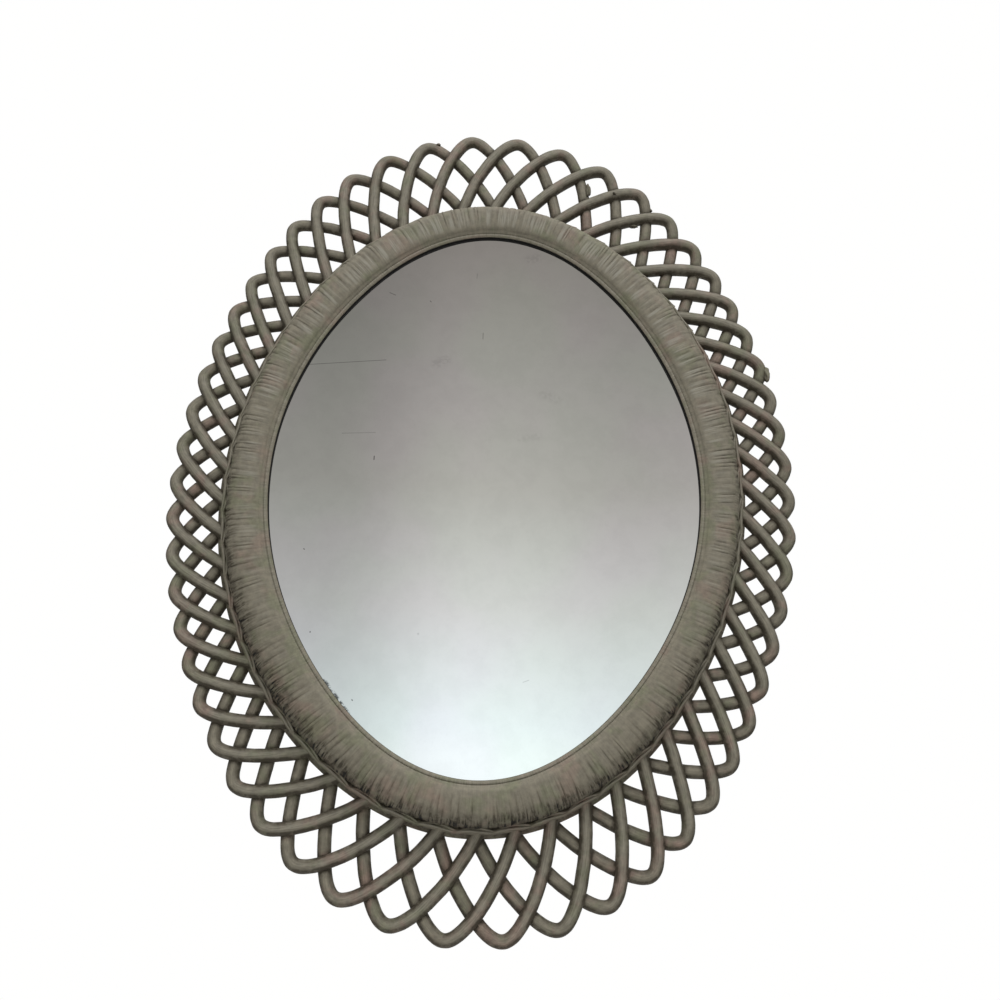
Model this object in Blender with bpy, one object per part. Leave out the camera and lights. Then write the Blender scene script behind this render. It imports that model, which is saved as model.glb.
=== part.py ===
"""Oval wall mirror in a moulded frame that imitates woven cane.

Metres, +Z up. The mirror faces -Y and hangs with its back against a wall
at +Y. The origin is the middle of the hanger plate's back face, at the top
of the frame. Depths are measured from the wall towards the viewer.
"""
import math

import bmesh
import bpy

# Mirror opening and ring, seen from the front; the pull draws the oval in on its diagonals
SIGHT_HALF_WIDTH = 0.1718
SIGHT_HALF_HEIGHT = 0.2272
SIGHT_PULL = 0.0297
RING_WIDTH = 0.0422
BAND_WIDTH = 0.0060
RIDGE_WIDTH = 0.0042
FLANGE_WIDTH = 0.0030
RING_STATIONS = 54

# Slow unevenness of the ring's width
RING_LEAN = 0.0018
RING_WAVER = 0.0017
RING_WAVER_TURN = math.radians(54)

# Section of the ring
SIGHT_EDGE_DEPTH = 0.0254
SIGHT_EDGE_THICKNESS = 0.0014
BAND_TOP_DEPTH = 0.0285
CREST_DEPTH = 0.0325
ROLL_OUTER_REACH = 0.0125
ROLL_FACETS = 3
GROOVE_DEPTH = 0.0142
RIDGE_FRONT = 0.0172
RIDGE_BEVEL = 0.0010
FLANGE_FRONT = 0.0118
FLANGE_BEVEL = 0.0010
FLANGE_BACK = 0.0048
BACK_INSET = 0.0040

# Glass, board and the rebate that holds them
GLASS_OVERLAP = 0.0060
GLASS_THICKNESS = 0.0030
BOARD_THICKNESS = 0.0030
FIT_GAP = 0.0003
TAB_COUNT = 8
TAB_REACH = 0.0055
TAB_WIDTH = 0.0140
TAB_THICKNESS = 0.0030
TAB_ROOT = 0.0012

# Openwork border of crossing arches, evenly spaced along a pitch line outside the sight edge;
# reaches are from the arch feet to the outer edge, and the legs run on under the ridge
ARCH_COUNT = 54
ARCH_SPAN = 3.0
ARCH_ROUNDING = 0.315
ARCH_PHASE = -0.045
PITCH_LINE = 0.0556
FOOT_INSET = 0.0017
FOOT_RUN = 0.16
BORDER_SIDE_REACH = 0.0430
BORDER_END_REACH = 0.0768
BORDER_SHARPNESS = 2.86
STRAND_WIDTH = 0.0102

# Depths of a strand's flat back, its widest line and its front
STRAND_BACK = 0.0052
STRAND_MIDDLE = 0.0092
OVER_FRONT = 0.0148
UNDER_FRONT = 0.0116
CROSSOVER_LENGTH = 0.5

# Slow unevenness of the border, as in hand weaving: spacing in pitches, reach in metres
SPACING_SHIFT = 0.020
SPACING_LEAN = 0.214
SPACING_WAVER = 0.079
SPACING_WAVER_TURN = math.radians(40)
REACH_LEAN = 0.0022

# Hanger at the top of the back
HANGER_LENGTH = 0.0440
HANGER_HEIGHT = 0.0100
HANGER_THICKNESS = 0.0010
HANGER_SETBACK = 0.0012
HANGER_CLEARANCE = 0.0006
TOOTH_COUNT = 7
TOOTH_HEIGHT = 0.0016
TOOTHED_LENGTH = 0.0180
TACK_SPACING = 0.0340
TACK_HEAD_RADIUS = 0.0024
TACK_HEAD_THICKNESS = 0.0006
TACK_SHANK_RADIUS = 0.0008
TACK_LENGTH = 0.0070
TACK_SIDES = 10
NAIL_POCKET_WIDTH = 0.0200
NAIL_POCKET_BELOW = 0.0075
NAIL_POCKET_BEHIND = 0.0050
NAIL_POCKET_DEPTH = 0.0085

# Places that follow from the sizes above
BACK_WIDTH = RING_WIDTH - BACK_INSET
REBATE_OFFSET = GLASS_OVERLAP + FIT_GAP
REBATE_DEPTH = SIGHT_EDGE_DEPTH - SIGHT_EDGE_THICKNESS
GLASS_FRONT = REBATE_DEPTH - FIT_GAP
BOARD_FRONT = GLASS_FRONT - GLASS_THICKNESS - FIT_GAP
TAB_FRONT = BOARD_FRONT - BOARD_THICKNESS - FIT_GAP
ARCH_END = ARCH_SPAN / 2 + FOOT_RUN

# Cutters pass a face by this margin, and faces flatter to each other than this angle are merged
CUT_MARGIN = 0.0010
FLAT_DEGREES = 2.5

# Points of an arch, in pitches clockwise of its tip
ARCH_STEPS = (-ARCH_END, -0.54, -0.2, 0.0, 0.2, 0.54, ARCH_END)
TABLE_STEPS = 2880


def wall_y(depth):
    """World Y of a depth from the wall."""
    return HANGER_SETBACK - depth


def ring_spread(angle):
    """How much wider than its named width the ring is at an angle clockwise from the top."""
    return RING_LEAN * math.sin(2 * angle) - RING_WAVER * math.sin(4 * angle + RING_WAVER_TURN)


OVAL_CENTRE_Z = -(SIGHT_HALF_HEIGHT + (REBATE_OFFSET + BACK_WIDTH + ring_spread(0.0)) / 2)


def sight_point(angle, offset):
    """Point in front view, an offset outside the sight edge, and its outward direction."""
    sine = math.sin(angle)
    cosine = math.cos(angle)
    pull = 1 - SIGHT_PULL * math.sin(2 * angle) ** 2
    pull_slope = -2 * SIGHT_PULL * math.sin(4 * angle)
    run_x = SIGHT_HALF_WIDTH * (cosine * pull + sine * pull_slope)
    run_z = SIGHT_HALF_HEIGHT * (cosine * pull_slope - sine * pull)
    run = math.hypot(run_x, run_z)
    normal_x = -run_z / run
    normal_z = run_x / run
    x = SIGHT_HALF_WIDTH * sine * pull + offset * normal_x
    z = OVAL_CENTRE_Z + SIGHT_HALF_HEIGHT * cosine * pull + offset * normal_z
    return x, z, normal_x, normal_z


def oval_table(offset):
    """Angles, and the share of the line an offset outside the sight edge that each has reached."""
    angles = [2 * math.pi * step / TABLE_STEPS for step in range(TABLE_STEPS + 1)]
    places = [sight_point(angle, offset)[:2] for angle in angles]
    lengths = [0.0]
    for first, second in zip(places, places[1:]):
        lengths.append(lengths[-1] + math.dist(first, second))
    return angles, [length / lengths[-1] for length in lengths]


SIGHT_TABLE = oval_table(0.0)
PITCH_TABLE = oval_table(PITCH_LINE)


def clear_scene():
    """Empty the scene and the data it leaves behind."""
    for item in list(bpy.data.objects):
        bpy.data.objects.remove(item, do_unlink=True)
    for mesh in list(bpy.data.meshes):
        bpy.data.meshes.remove(mesh)


def angle_at(table, share):
    """Angle, clockwise from the top, at a share of the oval's length."""
    angles, shares = table
    share %= 1.0
    low = 0
    high = len(shares) - 1
    while high - low > 1:
        middle = (low + high) // 2
        if shares[middle] <= share:
            low = middle
        else:
            high = middle
    part = (share - shares[low]) / (shares[high] - shares[low])
    return angles[low] + part * (angles[high] - angles[low])


def mesh_object(name, vertices, faces):
    """Object of triangles from points and faces, with its faces pointing out."""
    mesh = bpy.data.meshes.new(name)
    mesh.from_pydata(vertices, [], faces)
    shape = bmesh.new()
    shape.from_mesh(mesh)
    bmesh.ops.recalc_face_normals(shape, faces=shape.faces)
    bmesh.ops.triangulate(shape, faces=shape.faces)
    shape.to_mesh(mesh)
    shape.free()
    item = bpy.data.objects.new(name, mesh)
    bpy.context.scene.collection.objects.link(item)
    return item


def box_object(name, low, high):
    """Upright box between two corners."""
    corners = [(x, y, z) for x in (low[0], high[0]) for y in (low[1], high[1]) for z in (low[2], high[2])]
    faces = [(0, 1, 3, 2), (4, 6, 7, 5), (0, 4, 5, 1), (2, 3, 7, 6), (0, 2, 6, 4), (1, 5, 7, 3)]
    return mesh_object(name, corners, faces)


def turned_object(name, profile, centre_x, centre_z, sides):
    """Solid turned about a line along Y, from (radius, depth) points that end on the axis."""
    vertices = [(centre_x, wall_y(profile[0][1]), centre_z)]
    rings = []
    for radius, depth in profile[1:-1]:
        ring = []
        for side in range(sides):
            angle = 2 * math.pi * side / sides
            ring.append(len(vertices))
            x = centre_x + radius * math.cos(angle)
            vertices.append((x, wall_y(depth), centre_z + radius * math.sin(angle)))
        rings.append(ring)
    vertices.append((centre_x, wall_y(profile[-1][1]), centre_z))
    last = len(vertices) - 1
    faces = []
    for side in range(sides):
        beside = (side + 1) % sides
        faces.append((0, rings[0][side], rings[0][beside]))
        faces.append((last, rings[-1][beside], rings[-1][side]))
        for inner, outer in zip(rings, rings[1:]):
            faces.append((inner[side], outer[side], outer[beside], inner[beside]))
    return mesh_object(name, vertices, faces)


def combine(base, others, operation):
    """Join the other shapes to the base, or cut them out of it, and drop them."""
    group = bpy.data.collections.new("operands")
    for other in others:
        other.hide_render = True
        other.display_type = "WIRE"
        group.objects.link(other)
    modifier = base.modifiers.new("combine", "BOOLEAN")
    modifier.operation = operation
    modifier.operand_type = "COLLECTION"
    modifier.collection = group
    modifier.solver = "EXACT"
    evaluated = base.evaluated_get(bpy.context.evaluated_depsgraph_get())
    result = bpy.data.meshes.new_from_object(evaluated)
    base.modifiers.clear()
    base.data = result
    for other in others:
        bpy.data.objects.remove(other, do_unlink=True)
    bpy.data.collections.remove(group)


def tidy_mesh(item):
    """Merge the flat faces that a union splits, then leave triangles."""
    shape = bmesh.new()
    shape.from_mesh(item.data)
    flat = math.radians(FLAT_DEGREES)
    bmesh.ops.dissolve_limit(shape, angle_limit=flat, verts=shape.verts, edges=shape.edges)
    bmesh.ops.triangulate(shape, faces=shape.faces)
    shape.to_mesh(item.data)
    shape.free()


def ring_section(spread):
    """Outline of the ring's section, wider by a spread: (offset outside the sight edge, depth)."""
    width = RING_WIDTH + spread
    ridge_end = width - FLANGE_WIDTH
    roll_end = ridge_end - RIDGE_WIDTH
    crest = RING_WIDTH - FLANGE_WIDTH - RIDGE_WIDTH - ROLL_OUTER_REACH
    section = [(0.0, SIGHT_EDGE_DEPTH)]
    for step in range(ROLL_FACETS):
        turn = math.pi / 2 * step / ROLL_FACETS
        offset = crest - (crest - BAND_WIDTH) * math.cos(turn)
        section.append((offset, BAND_TOP_DEPTH + (CREST_DEPTH - BAND_TOP_DEPTH) * math.sin(turn)))
    for step in range(ROLL_FACETS + 1):
        turn = math.pi / 2 * step / ROLL_FACETS
        offset = crest + (roll_end - crest) * math.sin(turn)
        section.append((offset, GROOVE_DEPTH + (CREST_DEPTH - GROOVE_DEPTH) * math.cos(turn)))
    section.append((roll_end + RIDGE_BEVEL, RIDGE_FRONT))
    section.append((ridge_end - RIDGE_BEVEL, RIDGE_FRONT))
    section.append((ridge_end, FLANGE_FRONT))
    section.append((width - FLANGE_BEVEL, FLANGE_FRONT))
    section.append((width, FLANGE_FRONT - FLANGE_BEVEL))
    section.append((width, FLANGE_BACK))
    section.append((BACK_WIDTH + spread, 0.0))
    section.append((REBATE_OFFSET, 0.0))
    section.append((REBATE_OFFSET, REBATE_DEPTH))
    section.append((0.0, REBATE_DEPTH))
    return section


def make_ring():
    """Ring swept round the sight edge."""
    count = len(ring_section(0.0))
    vertices = []
    for station in range(RING_STATIONS):
        angle = 2 * math.pi * station / RING_STATIONS
        for offset, depth in ring_section(ring_spread(angle)):
            x, z, _, _ = sight_point(angle, offset)
            vertices.append((x, wall_y(depth), z))
    faces = []
    for station in range(RING_STATIONS):
        here = station * count
        there = (station + 1) % RING_STATIONS * count
        for point in range(count):
            beside = (point + 1) % count
            faces.append((here + point, here + beside, there + beside, there + point))
    return mesh_object("mirror_frame", vertices, faces)


def make_tab(index):
    """Moulded tab that keeps the board in the rebate."""
    angle = angle_at(SIGHT_TABLE, (index + 0.5) / TAB_COUNT)
    x, z, normal_x, normal_z = sight_point(angle, REBATE_OFFSET)
    vertices = []
    for along in (-TAB_WIDTH / 2, TAB_WIDTH / 2):
        for out in (-TAB_REACH, TAB_ROOT):
            for depth in (TAB_FRONT - TAB_THICKNESS, TAB_FRONT):
                place_x = x + out * normal_x + along * normal_z
                place_z = z + out * normal_z - along * normal_x
                vertices.append((place_x, wall_y(depth), place_z))
    faces = [(0, 1, 3, 2), (4, 6, 7, 5), (0, 4, 5, 1), (2, 3, 7, 6), (0, 2, 6, 4), (1, 5, 7, 3)]
    return mesh_object("tab", vertices, faces)


def spaced_angle(share):
    """Angle at a share of the pitch line, with the slow unevenness of the arches' spacing."""
    angle = angle_at(PITCH_TABLE, share)
    pitches = SPACING_LEAN * math.sin(2 * angle) - SPACING_SHIFT * math.sin(angle)
    pitches += SPACING_WAVER * math.sin(4 * angle - SPACING_WAVER_TURN)
    return angle_at(PITCH_TABLE, share + pitches / ARCH_COUNT)


def arch_point(tip_share, step):
    """Place on an arch's centre line, in pitches clockwise of its tip: (x, z, front depth)."""
    angle = spaced_angle(tip_share + step / ARCH_COUNT)
    foot_offset = RING_WIDTH + ring_spread(angle) - FOOT_INSET
    foot_x, foot_z, normal_x, normal_z = sight_point(angle, foot_offset)
    end_share = abs(math.cos(angle)) ** BORDER_SHARPNESS
    reach = BORDER_SIDE_REACH + (BORDER_END_REACH - BORDER_SIDE_REACH) * end_share
    reach -= REACH_LEAN * math.sin(2 * angle)
    top = math.hypot(ARCH_SPAN / 2, ARCH_ROUNDING)
    rise = (reach - STRAND_WIDTH / 2) * (top - math.hypot(step, ARCH_ROUNDING)) / (top - ARCH_ROUNDING)
    side = max(-1.0, min(1.0, -step / CROSSOVER_LENGTH))
    front = (OVER_FRONT + UNDER_FRONT) / 2 + side * (OVER_FRONT - UNDER_FRONT) / 2
    return foot_x + rise * normal_x, foot_z + rise * normal_z, front


def strand_section(front):
    """Section of a strand with a flat back and a rounded front: (across, depth)."""
    half = STRAND_WIDTH / 2
    return [
        (-0.8 * half, STRAND_BACK),
        (0.8 * half, STRAND_BACK),
        (half, STRAND_MIDDLE),
        (0.5 * half, front),
        (-0.5 * half, front),
        (-half, STRAND_MIDDLE),
    ]


def make_arch(index):
    """One arch: its counter-clockwise leg passes over its neighbours, the other one under."""
    tip_share = (index + ARCH_SPAN / 2 + ARCH_PHASE) / ARCH_COUNT
    path = [arch_point(tip_share, step) for step in ARCH_STEPS]
    vertices = []
    for place, (x, z, front) in enumerate(path):
        before = path[max(place - 1, 0)]
        after = path[min(place + 1, len(path) - 1)]
        into = (x - before[0], z - before[1])
        out_of = (after[0] - x, after[1] - z)
        if place == 0:
            into = out_of
        if place == len(path) - 1:
            out_of = into
        into_size = math.hypot(*into)
        out_size = math.hypot(*out_of)
        run_x = into[0] / into_size + out_of[0] / out_size
        run_z = into[1] / into_size + out_of[1] / out_size
        run_size = math.hypot(run_x, run_z)
        mitre = 2 / run_size
        for across, depth in strand_section(front):
            out_x = mitre * across * run_z / run_size
            out_z = -mitre * across * run_x / run_size
            vertices.append((x + out_x, wall_y(depth), z + out_z))
    count = len(strand_section(0.0))
    faces = []
    for place in range(len(path) - 1):
        here = place * count
        there = here + count
        for side in range(count):
            beside = (side + 1) % count
            faces.append((here + side, here + beside, there + beside, there + side))
    faces.append(tuple(range(count)))
    faces.append(tuple(range(len(vertices) - count, len(vertices))))
    return mesh_object("arch", vertices, faces)


def hanger_cutters():
    """Shallow seat for the hanger plate, a pocket for the nail's head and the tack holes."""
    half_length = HANGER_LENGTH / 2 + HANGER_CLEARANCE
    half_height = HANGER_HEIGHT / 2 + HANGER_CLEARANCE
    seat_floor = wall_y(HANGER_SETBACK + HANGER_THICKNESS + FIT_GAP)
    back = wall_y(-CUT_MARGIN)
    seat = box_object("seat", (-half_length, seat_floor, -half_height), (half_length, back, half_height))
    bottom = -HANGER_HEIGHT / 2 - NAIL_POCKET_BELOW
    top = -HANGER_HEIGHT / 2 + NAIL_POCKET_BEHIND
    half_pocket = NAIL_POCKET_WIDTH / 2
    pocket_floor = wall_y(NAIL_POCKET_DEPTH)
    pocket = box_object("pocket", (-half_pocket, pocket_floor, bottom), (half_pocket, back, top))
    cutters = [seat, pocket]
    radius = TACK_SHANK_RADIUS + FIT_GAP
    end = HANGER_SETBACK + TACK_LENGTH + FIT_GAP
    profile = [(0, CUT_MARGIN), (radius, CUT_MARGIN), (radius, end), (0, end)]
    for place in (-TACK_SPACING / 2, TACK_SPACING / 2):
        cutters.append(turned_object("tack_hole", profile, place, 0.0, TACK_SIDES))
    return cutters


def make_frame():
    """Ring, tabs and openwork border in one moulding, with the hanger's seat cut in its back."""
    frame = make_ring()
    joined = [make_tab(index) for index in range(TAB_COUNT)]
    joined += [make_arch(index) for index in range(ARCH_COUNT)]
    combine(frame, joined, "UNION")
    combine(frame, hanger_cutters(), "DIFFERENCE")
    tidy_mesh(frame)
    return frame


def make_oval_plate(name, offset, front, thickness):
    """Flat oval plate, an offset outside the sight edge."""
    vertices = []
    for depth in (front, front - thickness):
        for station in range(RING_STATIONS):
            angle = 2 * math.pi * station / RING_STATIONS
            x, z, _, _ = sight_point(angle, offset)
            vertices.append((x, wall_y(depth), z))
    faces = [tuple(range(RING_STATIONS)), tuple(range(RING_STATIONS, 2 * RING_STATIONS))]
    for station in range(RING_STATIONS):
        beside = (station + 1) % RING_STATIONS
        faces.append((station, beside, RING_STATIONS + beside, RING_STATIONS + station))
    return mesh_object(name, vertices, faces)


def make_hanger():
    """Sawtooth hanger plate, its back face at the origin."""
    half_length = HANGER_LENGTH / 2
    half_height = HANGER_HEIGHT / 2
    outline = [(-half_length, half_height), (half_length, half_height), (half_length, -half_height)]
    pitch = TOOTHED_LENGTH / TOOTH_COUNT
    for tooth in range(TOOTH_COUNT):
        start = TOOTHED_LENGTH / 2 - tooth * pitch
        outline.append((start, -half_height))
        outline.append((start - pitch / 2, -half_height + TOOTH_HEIGHT))
    outline.append((-TOOTHED_LENGTH / 2, -half_height))
    outline.append((-half_length, -half_height))
    count = len(outline)
    vertices = []
    for depth in (HANGER_SETBACK, HANGER_SETBACK + HANGER_THICKNESS):
        vertices += [(x, wall_y(depth), z) for x, z in outline]
    faces = [tuple(range(count)), tuple(range(count, 2 * count))]
    for place in range(count):
        beside = (place + 1) % count
        faces.append((place, beside, count + beside, count + place))
    plate = mesh_object("hanger_plate", vertices, faces)
    radius = TACK_SHANK_RADIUS + FIT_GAP
    low = HANGER_SETBACK - CUT_MARGIN
    high = HANGER_SETBACK + HANGER_THICKNESS + CUT_MARGIN
    profile = [(0, low), (radius, low), (radius, high), (0, high)]
    holes = []
    for place in (-TACK_SPACING / 2, TACK_SPACING / 2):
        holes.append(turned_object("plate_hole", profile, place, 0.0, TACK_SIDES))
    combine(plate, holes, "DIFFERENCE")
    tidy_mesh(plate)
    return plate


def make_tack(name, place_x):
    """Tack with a flat head that lies just inside the wall's plane."""
    under_head = HANGER_SETBACK - FIT_GAP
    head_back = under_head - TACK_HEAD_THICKNESS
    tip = HANGER_SETBACK + TACK_LENGTH
    profile = [
        (0, head_back),
        (TACK_HEAD_RADIUS, head_back),
        (TACK_HEAD_RADIUS, under_head),
        (TACK_SHANK_RADIUS, under_head),
        (TACK_SHANK_RADIUS, tip),
        (0, tip),
    ]
    return turned_object(name, profile, place_x, 0.0, TACK_SIDES)


def give_material(item, colour, roughness, metallic):
    """Give an object its own plain material."""
    material = bpy.data.materials.new(item.name)
    material.use_nodes = True
    shader = material.node_tree.nodes["Principled BSDF"]
    shader.inputs["Base Color"].default_value = (*colour, 1.0)
    shader.inputs["Roughness"].default_value = roughness
    shader.inputs["Metallic"].default_value = metallic
    material.diffuse_color = (*colour, 1.0)
    item.data.materials.clear()
    item.data.materials.append(material)


def shade_round(item, sharp_degrees):
    """Shade smooth, with edges sharper than an angle kept."""
    item.data.shade_smooth()
    item.data.set_sharp_from_angle(angle=math.radians(sharp_degrees))


def main():
    """Build every piece of the mirror."""
    clear_scene()
    frame = make_frame()
    give_material(frame, (0.20, 0.17, 0.13), 0.62, 0.0)
    shade_round(frame, 50)
    glass = make_oval_plate("mirror_glass", GLASS_OVERLAP, GLASS_FRONT, GLASS_THICKNESS)
    give_material(glass, (0.80, 0.82, 0.82), 0.03, 1.0)
    shade_round(glass, 30)
    board = make_oval_plate("backing_board", GLASS_OVERLAP, BOARD_FRONT, BOARD_THICKNESS)
    give_material(board, (0.30, 0.19, 0.10), 0.85, 0.0)
    shade_round(board, 30)
    hanger = make_hanger()
    give_material(hanger, (0.62, 0.58, 0.45), 0.35, 1.0)
    for side, place in (("left", -TACK_SPACING / 2), ("right", TACK_SPACING / 2)):
        tack = make_tack("hanger_tack_" + side, place)
        give_material(tack, (0.55, 0.54, 0.52), 0.40, 1.0)
        shade_round(tack, 40)


main()
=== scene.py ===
"""Looks of an oval wall mirror in a moulded frame that imitates woven cane.

Metres, +Z up. The mirror faces -Y, and the origin is the middle of the hanger
plate's back face. Depths are measured from the wall towards the viewer. Angles
round the oval run clockwise from the top, seen from the front.
"""
import math
import random

import bmesh
import bpy
import numpy as np
from mathutils import Matrix, Vector, noise


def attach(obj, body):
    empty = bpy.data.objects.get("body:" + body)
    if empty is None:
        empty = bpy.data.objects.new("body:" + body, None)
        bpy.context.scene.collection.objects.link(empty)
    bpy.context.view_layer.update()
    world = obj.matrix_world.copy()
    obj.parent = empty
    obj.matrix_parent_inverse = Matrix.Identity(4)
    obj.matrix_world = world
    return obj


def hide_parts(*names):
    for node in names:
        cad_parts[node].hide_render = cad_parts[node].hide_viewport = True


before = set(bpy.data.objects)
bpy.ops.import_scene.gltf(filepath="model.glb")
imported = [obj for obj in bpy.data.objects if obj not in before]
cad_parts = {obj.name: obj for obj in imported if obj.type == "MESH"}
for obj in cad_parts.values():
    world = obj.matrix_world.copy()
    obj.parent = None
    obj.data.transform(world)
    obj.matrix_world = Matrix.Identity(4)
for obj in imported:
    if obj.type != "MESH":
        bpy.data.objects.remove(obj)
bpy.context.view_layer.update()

# Mirror opening and ring, as in the frame's solid
SIGHT_HALF_WIDTH = 0.1718
SIGHT_HALF_HEIGHT = 0.2272
SIGHT_PULL = 0.0297
RING_WIDTH = 0.0422
BAND_WIDTH = 0.0060
RIDGE_WIDTH = 0.0042
FLANGE_WIDTH = 0.0030
RING_LEAN = 0.0018
RING_WAVER = 0.0017
RING_WAVER_TURN = math.radians(54)
SIGHT_EDGE_DEPTH = 0.0254
SIGHT_EDGE_THICKNESS = 0.0014
BAND_TOP_DEPTH = 0.0285
CREST_DEPTH = 0.0325
ROLL_OUTER_REACH = 0.0125
GROOVE_DEPTH = 0.0142
RIDGE_FRONT = 0.0172
FLANGE_BACK = 0.0048
BACK_INSET = 0.0040
GLASS_OVERLAP = 0.0060
GLASS_THICKNESS = 0.0030
BOARD_THICKNESS = 0.0030
FIT_GAP = 0.0003

# Hanger seat, nail pocket and board tabs, as in the frame's solid
HANGER_SETBACK = 0.0012
HANGER_LENGTH = 0.0440
HANGER_HEIGHT = 0.0100
HANGER_THICKNESS = 0.0010
HANGER_CLEARANCE = 0.0006
TACK_SPACING = 0.0340
TACK_SHANK_RADIUS = 0.0008
TACK_LENGTH = 0.0070
NAIL_POCKET_WIDTH = 0.0200
NAIL_POCKET_BELOW = 0.0075
NAIL_POCKET_BEHIND = 0.0050
NAIL_POCKET_DEPTH = 0.0085
TAB_COUNT = 8
TAB_REACH = 0.0055
TAB_WIDTH = 0.0140
TAB_THICKNESS = 0.0030
TAB_ROOT = 0.0012
CUT_MARGIN = 0.0010

# Openwork border, as in the frame's solid
ARCH_COUNT = 54
ARCH_SPAN = 3.0
ARCH_ROUNDING = 0.315
ARCH_PHASE = -0.045
PITCH_LINE = 0.0556
FOOT_INSET = 0.0017
FOOT_RUN = 0.16
BORDER_SIDE_REACH = 0.0430
BORDER_END_REACH = 0.0768
BORDER_SHARPNESS = 2.86
STRAND_WIDTH = 0.0102
STRAND_BACK = 0.0052
OVER_FRONT = 0.0148
UNDER_FRONT = 0.0116
CROSSOVER_LENGTH = 0.5
SPACING_SHIFT = 0.020
SPACING_LEAN = 0.214
SPACING_WAVER = 0.079
SPACING_WAVER_TURN = math.radians(40)
REACH_LEAN = 0.0022

# Places that follow from the sizes above
BACK_WIDTH = RING_WIDTH - BACK_INSET
REBATE_OFFSET = GLASS_OVERLAP + FIT_GAP
REBATE_DEPTH = SIGHT_EDGE_DEPTH - SIGHT_EDGE_THICKNESS
TAB_FRONT = REBATE_DEPTH - GLASS_THICKNESS - BOARD_THICKNESS - 3 * FIT_GAP
ROLL_FOOT = RING_WIDTH - FLANGE_WIDTH - RIDGE_WIDTH
ROLL_CREST = ROLL_FOOT - ROLL_OUTER_REACH
ARCH_END = ARCH_SPAN / 2 + FOOT_RUN
TABLE_STEPS = 2880

# Fine form of the border: rounded strands with a slight unevenness
ARCH_POINTS = 76
STRAND_FRONT_POINTS = 11
STRAND_MIDDLE_DROP = 0.0051
STRAND_BACK_SHARE = 0.74
UNDER_DIP = 0.0010
STRAND_WOBBLE = 0.00030
STRAND_LUMPS = 0.00014

# Bundles of three fine threads on the ridge, one over each foot of the border
BUNDLE_HALF_LENGTH = 0.64
BUNDLE_POINTS = 16
THREAD_RADIUS = 0.00092
THREAD_SIDES = 8
THREAD_SPREAD = 0.00145
THREAD_STACK = 0.00045
THREAD_TWIST = 1.1
BUNDLE_OFFSET = 0.0359
BUNDLE_SWING = 0.0018
BUNDLE_TUCK = 0.0028

# Double line along the sight edge: places outside the edge and above it
EDGE_LINES = (
    (0.0001, 0.0005),
    (0.0005, 0.0010),
    (0.0013, 0.0016),
    (0.0022, 0.0019),
    (0.0029, 0.0018),
    (0.0034, 0.0011),
    (0.0039, 0.0019),
    (0.0048, 0.0026),
)
ROLL_INNER_STEPS = 10
ROLL_OUTER_STEPS = 14

# Dark gap along the glass, widest at the top
DARK_EDGE = 0.0013
DARK_EDGE_HEIGHT = 0.0005
DARK_EDGE_OFFSET = 0.0001

# Ribs of the roll
RIB_WIDTH = 0.0042
RIB_WIDTH_SPREAD = 0.50
RIB_HEIGHT = 0.00042
RIB_SAMPLES = (0.0, 0.16, 0.38, 0.62, 0.84)
RIB_HEIGHT_SPREAD = 0.3
RIB_GROOVE = 1.6
RIB_SLANT = 0.0030
RIB_SWEEP = 0.0050
RIB_WIDTH_SEED = 11
RIB_SEED = 5
CREST_SHARE = 0.4

# Painted shade, grime, wear and a painted highlight of the roll: about 1 covers a place, and more also fills
# the patches between
# Painted shade and grime in the grooves between ribs, more low on the oval
GROOVE_SHADE_AND_GRIME = 0.34
GROOVE_SHADE_LOW = 0.50
# Painted shade and grime along the roll's foot, with a random share for each rib
FOOT_SHADE_AND_GRIME = 0.28
FOOT_SHADE_AND_GRIME_SPREAD = 0.40
# Painted shade on the lower part of the roll, most on its outer side
LOW_SHADE = 0.12
LOW_OUTER_SHADE = 0.38
# Painted black shadow in the gap along the glass and over the rebate
GAP_SHADOW = 1.8
# Painted shade on the flange and on the ridge under the threads
FLANGE_SHADE = 0.80
RIDGE_SHADE = 0.30
STREAK_STRENGTH = 1.35
RIB_WEAR = 1.9
RIB_WEAR_PLACE = 0.28
RIB_WEAR_WIDTH = 0.13
# Painted highlight along the top of the bead by the sight edge: strength, place outside the edge and width
BEAD_HIGHLIGHT = 0.7
BEAD_HIGHLIGHT_OFFSET = 0.0028
BEAD_HIGHLIGHT_WIDTH = 0.0012

# Painted shade and wear of the border, and painted shade and painted highlights of the threads
# Painted shade of the border: in the creases where strands cross, on the back parts, over the upper part of
# the oval, and on the strands' sides and undersides
CREASE_SHADE = 0.85
CREASE_REACH = 0.0032
BEHIND_SHADE = 0.20
TOP_SHADE = 0.12
RIM_SHADE = 0.85
RIM_SHADE_LOW = 0.25
RIM_SHADE_UNDER = 0.75
# Painted shade in the pits
PIT_SHADE = 0.9
BORDER_SHADE_LIMIT = 1.5
BORDER_WEAR = 0.45
SCRATCH_WEAR = 1.2
# Painted shade on the threads' deep parts
THREAD_SHADE = 0.85
# Painted highlight on the threads' front tops
THREAD_HIGHLIGHT = 0.8

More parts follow.
